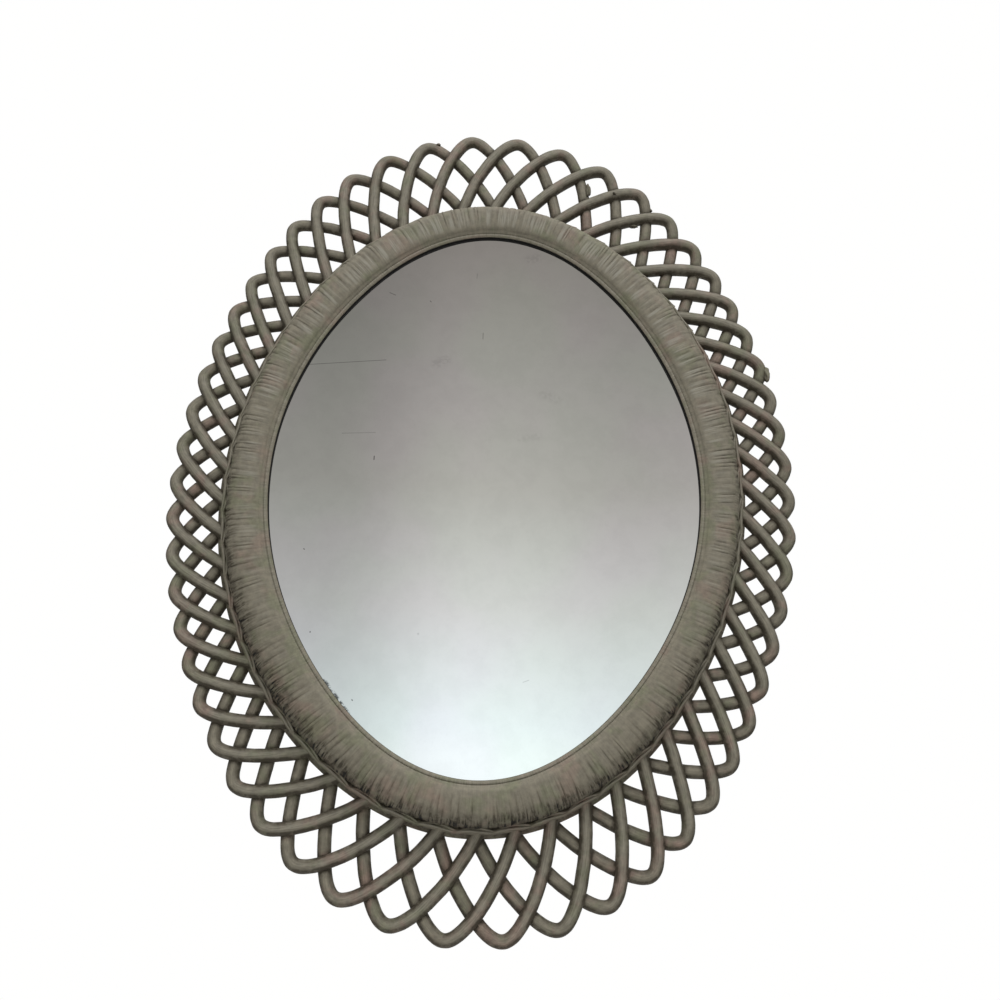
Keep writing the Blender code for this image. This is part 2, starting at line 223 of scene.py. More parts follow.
# Flaws of the border: places right of the mirror's middle, above it and from the wall, then half sizes
LUMPS = (
    (0.2352, 0.1172, 0.0100, 0.0030, 0.0034, 0.0066),
    (0.0806, 0.2912, 0.0098, 0.0026, 0.0034, 0.0066),
    (-0.0560, 0.3300, 0.0112, 0.0020, 0.0020, 0.0012),
    (0.1372, 0.2720, 0.0126, 0.0012, 0.0016, 0.0012),
    (0.1215, 0.2570, 0.0090, 0.0040, 0.0024, 0.0012),
)
PITS = (
    (0.1037, 0.2861, 0.0150, 0.0013, 0.0018, 0.0018),
    (0.1019, 0.2996, 0.0150, 0.0008, 0.0014, 0.0009),
    (0.1568, 0.2278, 0.0148, 0.0009, 0.0014, 0.0009),
)
RED_PATCHES = ((-0.1159, 0.2831), (-0.1201, 0.2570), (-0.0980, 0.3064), (-0.2330, 0.1050), (0.2310, 0.1330))
RED_PATCH_RADIUS = 0.0080
SCRATCHED_FROM = (-0.0510, -0.2612)
SCRATCHED_TO = (-0.0716, -0.2763)
SCRATCHED_WIDTH = 0.0030

# Marks on the glass: both ends right of the middle and above it, then half width and darkness
GLASS_MARKS = (
    (-0.1500, 0.0992, -0.0873, 0.1068, 0.00045, 0.42),
    (-0.1180, 0.0398, -0.0915, 0.0418, 0.00055, 0.20),
    (0.0335, -0.1545, 0.0378, -0.1528, 0.00050, 0.22),
    (-0.0154, 0.1878, -0.0152, 0.1922, 0.00040, 0.30),
    (-0.0080, 0.1306, -0.0080, 0.1360, 0.00045, 0.45),
    (-0.0884, 0.1696, -0.0834, 0.1676, 0.00050, 0.45),
    (-0.0540, 0.1638, -0.0530, 0.1628, 0.00045, 0.60),
    (-0.0909, 0.0184, -0.0909, 0.0214, 0.00055, 0.75),
    (-0.1398, -0.0580, -0.1392, -0.0584, 0.00055, 0.70),
    (-0.1289, -0.1226, -0.1289, -0.1232, 0.00060, 0.70),
    (-0.0935, -0.1724, -0.0931, -0.1730, 0.00060, 0.75),
    (-0.0474, -0.1208, -0.0474, -0.1212, 0.00050, 0.55),
)
GLASS_SMUDGES = (
    (-0.0451, 0.1064, -0.0380, 0.1100, 0.0085, 0.12),
    (0.0290, 0.2090, 0.0360, 0.2105, 0.0075, 0.09),
    (0.0440, 0.0830, 0.0540, 0.0790, 0.0080, 0.08),
    (0.0250, 0.0420, 0.0400, 0.0450, 0.0060, 0.07),
    (-0.1150, -0.1590, -0.0955, -0.1822, 0.0022, 0.85),
)

# Camera, from the photograph: its place is from the mirror's middle
CAMERA_PLACE = (-0.0130, -0.8141, -0.2757)
CAMERA_LOOKS_UP = math.radians(18.505)
CAMERA_LOOKS_RIGHT = math.radians(2.066)
CAMERA_ROLL = math.radians(1.977)
CAMERA_LENS = 37.8
CAMERA_SENSOR = 36.0
CAMERA_SHIFT = -0.0055

# Colours, linear
TAUPE = (0.220, 0.198, 0.151)
ROSY = (0.262, 0.186, 0.150)
OLIVE = (0.184, 0.186, 0.120)
# Colour of grime, also used for painted shade
GRIME_AND_SHADE = (0.036, 0.027, 0.016)
# Painted black shadow for the gap along the glass
GAP_SHADOW_BLACK = (0.006, 0.005, 0.004)
# Colour of worn paint, also used for painted highlights
WORN_AND_LIT = (0.34, 0.325, 0.275)
RUST = (0.150, 0.072, 0.045)
GREEN_SILVER = (0.865, 0.880, 0.850)
ROSY_SILVER = (0.885, 0.862, 0.872)
SILVER_BACK = (0.10, 0.10, 0.105)
BOARD_DARK = (0.20, 0.115, 0.055)
BOARD_LIGHT = (0.36, 0.235, 0.125)
BOARD_BLOTCH = (0.17, 0.10, 0.05)
BRASS = (0.60, 0.52, 0.36)
BRASS_TARNISH = (0.22, 0.15, 0.09)
TACK_STEEL = (0.52, 0.51, 0.49)
TACK_TARNISH = (0.20, 0.17, 0.14)


def wall_y(depth):
    """World Y of a depth from the wall."""
    return HANGER_SETBACK - depth


def smooth_step(low, high, value):
    """0 below low, 1 above high, smooth between."""
    share = np.clip((value - low) / (high - low), 0.0, 1.0)
    return share * share * (3 - 2 * share)


def ring_spread(angle):
    """How much wider than its named width the ring is at an angle."""
    return RING_LEAN * np.sin(2 * angle) - RING_WAVER * np.sin(4 * angle + RING_WAVER_TURN)


OVAL_CENTRE_Z = -(SIGHT_HALF_HEIGHT + (REBATE_OFFSET + BACK_WIDTH + ring_spread(0.0)) / 2)


def sight_point(angle, offset):
    """Places in front view, an offset outside the sight edge, and their outward directions."""
    sine = np.sin(angle)
    cosine = np.cos(angle)
    pull = 1 - SIGHT_PULL * np.sin(2 * angle) ** 2
    pull_slope = -2 * SIGHT_PULL * np.sin(4 * angle)
    run_x = SIGHT_HALF_WIDTH * (cosine * pull + sine * pull_slope)
    run_z = SIGHT_HALF_HEIGHT * (cosine * pull_slope - sine * pull)
    run = np.hypot(run_x, run_z)
    normal_x = -run_z / run
    normal_z = run_x / run
    x = SIGHT_HALF_WIDTH * sine * pull + offset * normal_x
    z = OVAL_CENTRE_Z + SIGHT_HALF_HEIGHT * cosine * pull + offset * normal_z
    return x, z, normal_x, normal_z


def oval_table(offset):
    """Angles round a line outside the sight edge, the share of its length at each, and its length."""
    angles = np.linspace(0, 2 * math.pi, TABLE_STEPS + 1)
    x, z, _, _ = sight_point(angles, offset)
    lengths = np.concatenate(([0.0], np.cumsum(np.hypot(np.diff(x), np.diff(z)))))
    return angles, lengths / lengths[-1], lengths[-1]


SIGHT_TABLE = oval_table(0.0)
CREST_TABLE = oval_table(ROLL_CREST)
PITCH_TABLE = oval_table(PITCH_LINE)


def angle_at(table, share):
    """Angle at a share of the oval's length, going on past a full turn."""
    whole = np.floor(share)
    return np.interp(share - whole, table[1], table[0]) + 2 * math.pi * whole


def spaced_angle(place):
    """Angle of a place along the border, counted in arch pitches, with their slow unevenness."""
    share = (place + ARCH_PHASE) / ARCH_COUNT
    angle = angle_at(PITCH_TABLE, share)
    pitches = SPACING_LEAN * np.sin(2 * angle) - SPACING_SHIFT * np.sin(angle)
    pitches = pitches + SPACING_WAVER * np.sin(4 * angle - SPACING_WAVER_TURN)
    return angle_at(PITCH_TABLE, share + pitches / ARCH_COUNT)


def mesh_object(name, vertices, faces):
    """Object from points and faces, with its faces pointing out."""
    mesh = bpy.data.meshes.new(name)
    mesh.from_pydata([tuple(place) for place in vertices], [], faces)
    shape = bmesh.new()
    shape.from_mesh(mesh)
    bmesh.ops.recalc_face_normals(shape, faces=shape.faces)
    shape.to_mesh(mesh)
    shape.free()
    item = bpy.data.objects.new(name, mesh)
    bpy.context.scene.collection.objects.link(item)
    return item


def swept_object(name, grid, closed):
    """Skin over rings of points, grid[station][point], joined up or capped at both ends."""
    stations, points, _ = grid.shape
    here = np.arange(stations if closed else stations - 1)
    there = (here + 1) % stations
    side = np.arange(points)
    beside = (side + 1) % points
    corners = [
        here[:, None] * points + side,
        here[:, None] * points + beside,
        there[:, None] * points + beside,
        there[:, None] * points + side,
    ]
    faces = np.stack(corners, axis=-1).reshape(-1, 4).tolist()
    if not closed:
        faces.append(list(range(points)))
        faces.append(list(range((stations - 1) * points, stations * points)))
    return mesh_object(name, grid.reshape(-1, 3), faces)


def box_object(name, low, high):
    """Upright box between two corners."""
    corners = [(x, y, z) for x in (low[0], high[0]) for y in (low[1], high[1]) for z in (low[2], high[2])]
    faces = [(0, 1, 3, 2), (4, 6, 7, 5), (0, 4, 5, 1), (2, 3, 7, 6), (0, 2, 6, 4), (1, 5, 7, 3)]
    return mesh_object(name, corners, faces)


def rough_ball(place, size, seed):
    """Uneven ball, its place given from the mirror's middle and the wall, with its half sizes."""
    shape = bmesh.new()
    bmesh.ops.create_icosphere(shape, subdivisions=3, radius=1.0)
    centre = Vector((place[0], wall_y(place[2]), OVAL_CENTRE_Z + place[1]))
    for vertex in shape.verts:
        swell = 1 + 0.35 * noise.noise(vertex.co * 1.6 + Vector((seed, 0, 0)))
        vertex.co = centre + Vector([vertex.co[axis] * size[axis] * swell for axis in range(3)])
    mesh = bpy.data.meshes.new("ball")
    shape.to_mesh(mesh)
    shape.free()
    item = bpy.data.objects.new("ball", mesh)
    bpy.context.scene.collection.objects.link(item)
    return item


def combine(base, others, operation):
    """Join closed shapes to the base, or cut them out of it, and drop them."""
    group = bpy.data.collections.new("operands")
    for other in others:
        group.objects.link(other)
    modifier = base.modifiers.new("combine", "BOOLEAN")
    modifier.operation = operation
    modifier.operand_type = "COLLECTION"
    modifier.collection = group
    modifier.solver = "MANIFOLD"
    evaluated = base.evaluated_get(bpy.context.evaluated_depsgraph_get())
    result = bpy.data.meshes.new_from_object(evaluated)
    base.modifiers.clear()
    base.data = result
    for other in others:
        bpy.data.objects.remove(other, do_unlink=True)
    bpy.data.collections.remove(group)


def vertex_places(item):
    """Array of an object's vertex places."""
    places = np.empty(len(item.data.vertices) * 3)
    item.data.vertices.foreach_get("co", places)
    return places.reshape(-1, 3)


def vertex_normals(item):
    """Array of an object's vertex normals."""
    normals = np.empty(len(item.data.vertices) * 3, dtype=np.float32)
    item.data.vertex_normals.foreach_get("vector", normals)
    return normals.reshape(-1, 3)


def set_values(item, name, values):
    """Store one number for each vertex."""
    layer = item.data.attributes.new(name, "FLOAT", "POINT")
    layer.data.foreach_set("value", np.asarray(values, dtype=np.float32))


def set_vectors(item, name, vectors):
    """Store one vector for each vertex."""
    layer = item.data.attributes.new(name, "FLOAT_VECTOR", "POINT")
    layer.data.foreach_set("vector", np.asarray(vectors, dtype=np.float32).ravel())


def noise_at(places, frequency, seed):
    """Smooth noise at each place, from about -1 to 1."""
    shift = Vector((seed * 3.1, seed * 7.7, seed * 1.3))
    return np.array([noise.noise(Vector(place) * frequency + shift) for place in places])


def finish_piece(item, sharp_degrees, material):
    """Shade, dress and mount a piece that stands for the frame's solid."""
    item.data.shade_smooth()
    item.data.set_sharp_from_angle(angle=math.radians(sharp_degrees))
    item.data.materials.clear()
    item.data.materials.append(material)
    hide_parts("mirror_frame")
    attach(item, "root")


# Roll and back of the frame

def roll_profile():
    """Section of the ring, one row per point.

    Offset outside the sight edge, share of the ring's extra width, depth, rib
    strength, and place across the roll from 0 at the band to 1 at its foot.
    """
    points = [
        (0.0, 0, REBATE_DEPTH, 0, 0),
        (0.0, 0, REBATE_DEPTH + DARK_EDGE_HEIGHT, 0, 0),
        (DARK_EDGE_OFFSET, 0, REBATE_DEPTH + DARK_EDGE_HEIGHT, 0, 0),
    ]
    points += [(offset, 0, SIGHT_EDGE_DEPTH + height, 0, 0) for offset, height in EDGE_LINES]
    for step in range(ROLL_INNER_STEPS):
        turn = math.pi / 2 * step / ROLL_INNER_STEPS
        offset = ROLL_CREST - (ROLL_CREST - BAND_WIDTH) * math.cos(turn)
        depth = BAND_TOP_DEPTH + (CREST_DEPTH - BAND_TOP_DEPTH) * math.sin(turn)
        strength = float(smooth_step(0.35, 0.90, step / ROLL_INNER_STEPS))
        points.append((offset, 0, depth, strength, CREST_SHARE * step / ROLL_INNER_STEPS))
    for step in range(ROLL_OUTER_STEPS + 1):
        turn = math.pi / 2 * step / ROLL_OUTER_STEPS
        offset = ROLL_CREST + ROLL_OUTER_REACH * math.sin(turn)
        depth = GROOVE_DEPTH + (CREST_DEPTH - GROOVE_DEPTH) * math.cos(turn)
        across = CREST_SHARE + (1 - CREST_SHARE) * step / ROLL_OUTER_STEPS
        points.append((offset, math.sin(turn), depth, 1.0, across))
    ridge = RIDGE_FRONT - 1.4 * THREAD_RADIUS
    points += [
        (ROLL_FOOT + 0.0004, 1, GROOVE_DEPTH - 0.0006, 0, 1),
        (ROLL_FOOT + 0.0011, 1, ridge - 0.0004, 0, 1),
        (ROLL_FOOT + 0.0021, 1, ridge, 0, 1),
        (ROLL_FOOT + 0.0032, 1, ridge - 0.0005, 0, 1),
        (ROLL_FOOT + RIDGE_WIDTH, 1, ridge - 0.0024, 0, 1),
        (ROLL_FOOT + RIDGE_WIDTH + 0.0002, 1, 0.0106, 0, 1),
        (RING_WIDTH - 0.0010, 1, 0.0101, 0, 1),
        (RING_WIDTH - 0.0001, 1, 0.0090, 0, 1),
        (RING_WIDTH, 1, FLANGE_BACK, 0, 1),
        (BACK_WIDTH + 0.0004, 1, 0.0004, 0, 1),
        (BACK_WIDTH - 0.0002, 1, 0.0, 0, 1),
        ((BACK_WIDTH + REBATE_OFFSET) / 2, 0.5, 0.0, 0, 1),
        (REBATE_OFFSET + 0.0004, 0, 0.0, 0, 1),
        (REBATE_OFFSET, 0, 0.0004, 0, 1),
        (REBATE_OFFSET, 0, REBATE_DEPTH / 2, 0, 1),
        (REBATE_OFFSET, 0, REBATE_DEPTH, 0, 0),
    ]
    return np.array(points)


def rib_stations(length):
    """Places round the crest where ribs are sampled: place, share of the rib, and the rib's number."""
    chance = random.Random(RIB_WIDTH_SEED)
    widths = []
    while sum(widths) < length:
        widths.append(RIB_WIDTH * (1 + RIB_WIDTH_SPREAD * chance.uniform(-1, 1)))
    scale = length / sum(widths)
    places, shares, numbers = [], [], []
    start = 0.0
    for number, width in enumerate(widths):
        for share in RIB_SAMPLES:
            places.append(start + share * width * scale)
            shares.append(share)
            numbers.append(number)
        start += width * scale
    return np.array(places), np.array(shares), np.array(numbers), len(widths)


def make_roll(material):
    """Ribbed roll, smooth band, ridge, rebate and flat back, with the hanger's seat cut in."""
    offsets, spreads, depths, strengths, across = roll_profile().T
    length = CREST_TABLE[2]
    places, shares, numbers, rib_count = rib_stations(length)

    # Ribs lean a little, more here and less there, and sweep up towards the roll's foot on both sides
    waver = np.sin(places / length * 14 * math.pi + 1) + 0.6 * np.sin(places / length * 46 * math.pi)
    straight = angle_at(CREST_TABLE, places / length)
    outer = np.clip((across - CREST_SHARE) / (1 - CREST_SHARE), 0, 1)
    skew = RIB_SLANT * waver[:, None] * (across - CREST_SHARE)[None, :] * (strengths > 0)[None, :]
    skew = skew - RIB_SWEEP * np.sin(straight)[:, None] * (outer ** 2 * (strengths > 0))[None, :]
    angle = angle_at(CREST_TABLE, (places[:, None] + skew) / length)
    offset = offsets[None, :] + spreads[None, :] * ring_spread(angle)
    unevenness = 1 + 0.25 * np.sin(9 * angle + 1) * np.sin(5 * angle)
    gap = DARK_EDGE * smooth_step(-0.70, 0.85, np.cos(angle)) * unevenness
    gap_front = REBATE_DEPTH + DARK_EDGE_HEIGHT
    in_gap = (depths >= REBATE_DEPTH) & (depths <= gap_front) & (offsets < DARK_EDGE_OFFSET)
    offset = offset - gap * in_gap[None, :]
    x, z, normal_x, normal_z = sight_point(angle, offset)

    # Each rib rises between two grooves, and each groove fades in and out on its way across
    generator = np.random.default_rng(RIB_SEED)
    knots = np.clip(1.9 * generator.uniform(0.0, 1.0, (rib_count, 5)) - 0.35, 0.0, 1.0)
    knots[:, 4] = 0.45 + 0.55 * knots[:, 4]
    reach = np.array([np.interp(across, np.linspace(0, 1, 5), row) for row in knots])
    rise = np.where(shares == 0, 0.0, 1.0 - (2 * np.abs(shares - 0.5)) ** 3)
    groove = (1.0 - rise)[:, None] * reach[numbers]
    next_groove = np.roll(reach, -1, axis=0)[numbers] * (1.0 - rise)[:, None]
    groove = np.where(shares[:, None] > 0.5, next_groove, groove)
    height_step = generator.uniform(-1, 1, rib_count)[numbers][:, None] * RIB_HEIGHT_SPREAD
    height = RIB_HEIGHT * (height_step * rise[:, None] - RIB_GROOVE * groove) * strengths[None, :]

    # The profile's own outward direction carries the ribs
    tangent_offset = np.roll(offsets, -1) - np.roll(offsets, 1)
    tangent_depth = np.roll(depths, -1) - np.roll(depths, 1)
    size = np.hypot(tangent_offset, tangent_depth)
    out_offset = -tangent_depth / size
    out_depth = tangent_offset / size
    shift = height * out_offset[None, :]
    grid = np.stack([
        x + shift * normal_x,
        wall_y(depths[None, :] + height * out_depth[None, :]),
        z + shift * normal_z,
    ], axis=-1)
    roll = swept_object("frame_roll", grid, True)

    # Painted shade and grime lie in the grooves and thick along the foot, grime lies in streaks on the lower
    # outer side, and painted shade darkens the lower part of the oval
    ribbed = (strengths > 0)[None, :]
    low = smooth_step(0.75, -0.75, np.cos(angle))
    foot_share = smooth_step(0.60, 1.0, across)[None, :] * ribbed
    patch = generator.uniform(0, 1, rib_count)[numbers][:, None]
    # Painted shade and grime in the grooves, more towards the foot and low on the oval
    groove_shade_and_grime = GROOVE_SHADE_AND_GRIME + GROOVE_SHADE_LOW * across[None, :] * (0.5 + 0.5 * low)
    dirt_and_shade = groove * groove_shade_and_grime * strengths[None, :]
    # Painted shade and grime along the foot, heavier low on the oval
    dirt_and_shade = dirt_and_shade + foot_share * (FOOT_SHADE_AND_GRIME + FOOT_SHADE_AND_GRIME_SPREAD * patch) * (0.40 + 0.60 * low)
    # Painted shade on the lower part of the oval, most on the roll's outer side
    low_outer = low * smooth_step(0.42, 0.90, across)[None, :]
    dirt_and_shade = dirt_and_shade + LOW_SHADE * low * ribbed + LOW_OUTER_SHADE * low_outer * ribbed
    # Painted black shadow in the gap along the glass and over the rebate
    in_rebate = (offsets <= REBATE_OFFSET) & (depths <= REBATE_DEPTH) & (depths > 0.001)
    under_sight = (offsets < 0.0004) | in_rebate
    dirt_and_shade = np.where(under_sight[None, :], GAP_SHADOW, dirt_and_shade)
    # Painted shade on the flange and on the ridge under the threads
    flange = (offsets > ROLL_FOOT + RIDGE_WIDTH - 0.0001) & (depths > FLANGE_BACK)
    beside_ridge = (offsets > ROLL_FOOT) & (depths > FLANGE_BACK) & ~flange
    dirt_and_shade = np.where(flange[None, :], FLANGE_SHADE, dirt_and_shade)
    dirt_and_shade = np.where(beside_ridge[None, :], RIDGE_SHADE, dirt_and_shade)
    streaks = smooth_step(0.32, 0.70, across)[None, :] * ribbed * (0.12 + 0.88 * low)
    # Real wear on the tops of chosen ribs, kept off the lower part; the bead's painted highlight is added to
    # it below
    chosen = generator.uniform(0, 1, rib_count)[numbers][:, None]
    wear_and_highlight = np.where(chosen > 0.25, chosen, 0.0) * rise[:, None] * ribbed
    wear_and_highlight = wear_and_highlight * np.exp(-((across[None, :] - RIB_WEAR_PLACE) / RIB_WEAR_WIDTH) ** 2) * (1 - 0.85 * low)
    # Painted highlight along the top of the bead by the sight edge
    bead_highlight = np.exp(-((offsets - BEAD_HIGHLIGHT_OFFSET) / BEAD_HIGHLIGHT_WIDTH) ** 2) * (depths > REBATE_DEPTH)
    set_values(roll, "dirt_and_shade", dirt_and_shade.ravel())
    set_values(roll, "streaks", (STREAK_STRENGTH * streaks).ravel())
    set_values(roll, "wear_and_highlight", (RIB_WEAR * wear_and_highlight + BEAD_HIGHLIGHT * bead_highlight[None, :]).ravel())

    # The pattern's space goes round a circle as long as the roll, so it has no seam
    circle = length / (2 * math.pi)
    turn = 2 * math.pi * (places[:, None] + skew) / length
    grain = np.stack([
        circle * np.cos(turn),
        circle * np.sin(turn),
        np.repeat(across[None, :] * 0.004, len(places), axis=0),
    ], axis=-1)
    set_vectors(roll, "grain", grain.reshape(-1, 3))

    combine(roll, [make_tab(index) for index in range(TAB_COUNT)], "UNION")
    combine(roll, hanger_cutters(), "DIFFERENCE")
    finish_piece(roll, 50, material)
    return roll


def make_tab(index):
    """Moulded tab that keeps the board in the rebate."""
    angle = angle_at(SIGHT_TABLE, (index + 0.5) / TAB_COUNT)
    x, z, normal_x, normal_z = sight_point(angle, REBATE_OFFSET)
    vertices = []
    for along in (-TAB_WIDTH / 2, TAB_WIDTH / 2):
        for out in (-TAB_REACH, TAB_ROOT):
            for depth in (TAB_FRONT - TAB_THICKNESS, TAB_FRONT):
                place_x = x + out * normal_x + along * normal_z
                place_z = z + out * normal_z - along * normal_x
                vertices.append((place_x, wall_y(depth), place_z))
    faces = [(0, 1, 3, 2), (4, 6, 7, 5), (0, 4, 5, 1), (2, 3, 7, 6), (0, 2, 6, 4), (1, 5, 7, 3)]
    return mesh_object("tab", vertices, faces)


def hanger_cutters():
    """Seat of the hanger plate, pocket for the nail's head and the tack holes."""
    half_length = HANGER_LENGTH / 2 + HANGER_CLEARANCE
    half_height = HANGER_HEIGHT / 2 + HANGER_CLEARANCE
    seat_floor = wall_y(HANGER_SETBACK + HANGER_THICKNESS + FIT_GAP)
    back = wall_y(-CUT_MARGIN)
    seat = box_object("seat", (-half_length, seat_floor, -half_height), (half_length, back, half_height))
    bottom = -HANGER_HEIGHT / 2 - NAIL_POCKET_BELOW
    top = -HANGER_HEIGHT / 2 + NAIL_POCKET_BEHIND
    half_pocket = NAIL_POCKET_WIDTH / 2
    floor = wall_y(NAIL_POCKET_DEPTH)
    pocket = box_object("pocket", (-half_pocket, floor, bottom), (half_pocket, back, top))
    cutters = [seat, pocket]
    sides = 12
    turns = np.linspace(0, 2 * math.pi, sides, endpoint=False)
    radius = TACK_SHANK_RADIUS + FIT_GAP
    for place in (-TACK_SPACING / 2, TACK_SPACING / 2):
        rings = []
        for depth in (-CUT_MARGIN, HANGER_SETBACK + TACK_LENGTH + FIT_GAP):
            hole_x = place + radius * np.cos(turns)
            hole_z = radius * np.sin(turns)
            rings.append(np.stack([hole_x, np.full(sides, wall_y(depth)), hole_z], axis=-1))
        cutters.append(swept_object("tack_hole", np.array(rings), False))
    return cutters


# Openwork border

def arch_path(index, steps):
    """Centre line of an arch at steps in pitches from its tip: x, z and front depth."""
    angle = spaced_angle(index + ARCH_SPAN / 2 + steps)
    foot_offset = RING_WIDTH + ring_spread(angle) - FOOT_INSET
    foot_x, foot_z, normal_x, normal_z = sight_point(angle, foot_offset)
    end_share = np.abs(np.cos(angle)) ** BORDER_SHARPNESS
    reach = BORDER_SIDE_REACH + (BORDER_END_REACH - BORDER_SIDE_REACH) * end_share
    reach = reach - REACH_LEAN * np.sin(2 * angle)
    top = math.hypot(ARCH_SPAN / 2, ARCH_ROUNDING)
    rise = (reach - STRAND_WIDTH / 2) * (top - np.hypot(steps, ARCH_ROUNDING)) / (top - ARCH_ROUNDING)
    side = np.sin(np.clip(-steps / CROSSOVER_LENGTH, -1, 1) * math.pi / 2)
    front = (OVER_FRONT + UNDER_FRONT) / 2 + side * (OVER_FRONT - UNDER_FRONT) / 2
    dip = np.exp(-((steps - 0.5) / 0.16) ** 2) + np.exp(-((steps - 1.0) / 0.16) ** 2)
    front = front - UNDER_DIP * dip
    return foot_x + rise * normal_x, foot_z + rise * normal_z, front


def make_strand(x, z, front, seed):
    """Strand with a rounded front and a flat back, and its grain running along it."""
    along_x = np.gradient(x)
    along_z = np.gradient(z)
    size = np.hypot(along_x, along_z)
    out_x = along_z / size
    out_z = -along_x / size
    half = STRAND_WIDTH / 2
    middle = np.maximum(front - STRAND_MIDDLE_DROP, STRAND_BACK + 0.0012)
    turns = np.linspace(0, math.pi, STRAND_FRONT_POINTS)
    across = [half * np.cos(turn) * np.ones_like(x) for turn in turns]
    depth = [middle + (front - middle) * math.sin(turn) for turn in turns]
    for share, place in ((-0.95, 0.5), (-STRAND_BACK_SHARE, 0.0), (STRAND_BACK_SHARE, 0.0), (0.95, 0.5)):
        across.append(share * half * np.ones_like(x))
        depth.append(STRAND_BACK + place * (middle - STRAND_BACK))
    across = np.stack(across, axis=-1)
    depth = np.stack(depth, axis=-1)
    places = np.stack([x, np.zeros_like(x), z], axis=-1)
    wobble = STRAND_WOBBLE * noise_at(places, 55, seed)[:, None]
    grid = np.stack([
        x[:, None] + (across + wobble) * out_x[:, None],
        wall_y(depth),
        z[:, None] + (across + wobble) * out_z[:, None],
    ], axis=-1)
    lumps = STRAND_LUMPS * noise_at(grid.reshape(-1, 3), 210, seed + 1).reshape(grid.shape[:2])
    round_share = across / half
    grid[:, :, 0] += lumps * round_share * out_x[:, None]
    grid[:, :, 2] += lumps * round_share * out_z[:, None]
    front_share = np.clip((depth - middle[:, None]) / (front - middle)[:, None], 0, 1)
    grid[:, :, 1] -= lumps * front_share
    strand = swept_object("frame_border", grid, False)
    along = np.cumsum(size)
    grain = np.stack([
        np.repeat(0.07 * along[:, None], across.shape[1], axis=1) + 0.5 * seed,
        across,
        depth,
    ], axis=-1)
    set_vectors(strand, "grain", grain.reshape(-1, 3))
    return strand


def arch_steps():
    """Steps along an arch, closer together round the tip."""
    share = np.linspace(-1, 1, ARCH_POINTS)
    return ARCH_END * np.sign(share) * np.abs(share) ** 1.35


def crease_values(places, paths):
    """How close each place lies to a second strand, 1 in a crease."""
    centres = np.concatenate(paths)
    owners = np.repeat(np.arange(len(paths)), [len(path) for path in paths])
    values = np.zeros(len(places))
    chunk = 1500
    edge = STRAND_WIDTH * 0.5
    for start in range(0, len(places), chunk):
        block = places[start:start + chunk]
        gaps = np.hypot(block[:, 0, None] - centres[None, :, 0], block[:, 2, None] - centres[None, :, 1])
        nearest = np.full((len(block), len(paths)), 1.0)
        for owner in range(len(paths)):
            nearest[:, owner] = gaps[:, owners == owner].min(axis=1)
        second = np.partition(nearest, 1, axis=1)[:, 1]
        values[start:start + chunk] = 1 - smooth_step(edge, edge + CREASE_REACH, second)
    return values


def near_line(places, start, end, width):
    """1 on a line seen from the front, fading to 0 a width away; its ends are from the mirror's middle."""
    run = np.array(end) - np.array(start)
    gap = places[:, (0, 2)] - np.array((start[0], start[1] + OVAL_CENTRE_Z))
    share = np.clip(gap @ run / max(run @ run, 1e-12), 0, 1)
    distance = np.hypot(*(gap - share[:, None] * run).T)
    return np.exp(-(distance / width) ** 2)


def make_border(material):
    """Crossing arches joined into one openwork border, with its small flaws."""
    steps = arch_steps()
    arches = []
    paths = []
    for index in range(ARCH_COUNT):
        x, z, front = arch_path(index, steps)
        paths.append(np.stack([x, z, front], axis=-1)[::3])
        arches.append(make_strand(x, z, front, index))
    border = arches[0]
    combine(border, arches[1:], "UNION")
    lumps = [rough_ball(flaw[:3], flaw[3:], seed) for seed, flaw in enumerate(LUMPS)]
    combine(border, lumps, "UNION")
    pits = [rough_ball(flaw[:3], flaw[3:], seed) for seed, flaw in enumerate(PITS, 9)]
    combine(border, pits, "DIFFERENCE")

    places = vertex_places(border)
    crease = crease_values(places, paths)
    depth = HANGER_SETBACK - places[:, 1]
    normals = vertex_normals(border)
    low_part = smooth_step(0.05, -0.20, places[:, 2] - OVAL_CENTRE_Z)
    sideways = np.sqrt(np.clip(1 - normals[:, 1] ** 2, 0, 1))
    rim = smooth_step(0.40 - 0.28 * low_part, 0.97, sideways)
    downward = np.clip(-normals[:, 2], 0, 1)
    behind = 1 - smooth_step(STRAND_BACK, UNDER_FRONT - 0.001, depth)
    over_top = smooth_step(UNDER_FRONT, OVER_FRONT, depth)
    # Painted shade in the creases, on the back parts and over the upper part, then on the strands' sides and
    # undersides, more low on the oval
    dirt_and_shade = CREASE_SHADE * crease * (1 - over_top) + BEHIND_SHADE * behind + TOP_SHADE * (1 - low_part)
    dirt_and_shade = dirt_and_shade + rim * (RIM_SHADE + RIM_SHADE_LOW * low_part + RIM_SHADE_UNDER * (1 + low_part) * downward)
    # Painted shade in the pits
    for flaw in PITS:
        centre = flaw[:2]
        dirt_and_shade = dirt_and_shade + PIT_SHADE * near_line(places, centre, centre, max(flaw[3], flaw[5]) * 0.8)
    scratched = near_line(places, SCRATCHED_FROM, SCRATCHED_TO, SCRATCHED_WIDTH)
    red = sum(near_line(places, centre, centre, RED_PATCH_RADIUS) for centre in RED_PATCHES)
    set_values(border, "dirt_and_shade", np.clip(dirt_and_shade, 0, BORDER_SHADE_LIMIT))
    set_values(border, "wear_and_highlight", BORDER_WEAR * over_top * (1 - rim) + SCRATCH_WEAR * scratched)
    set_values(border, "rust", np.clip(red, 0, 1))
    finish_piece(border, 45, material)
    return border


# Threads on the ridge

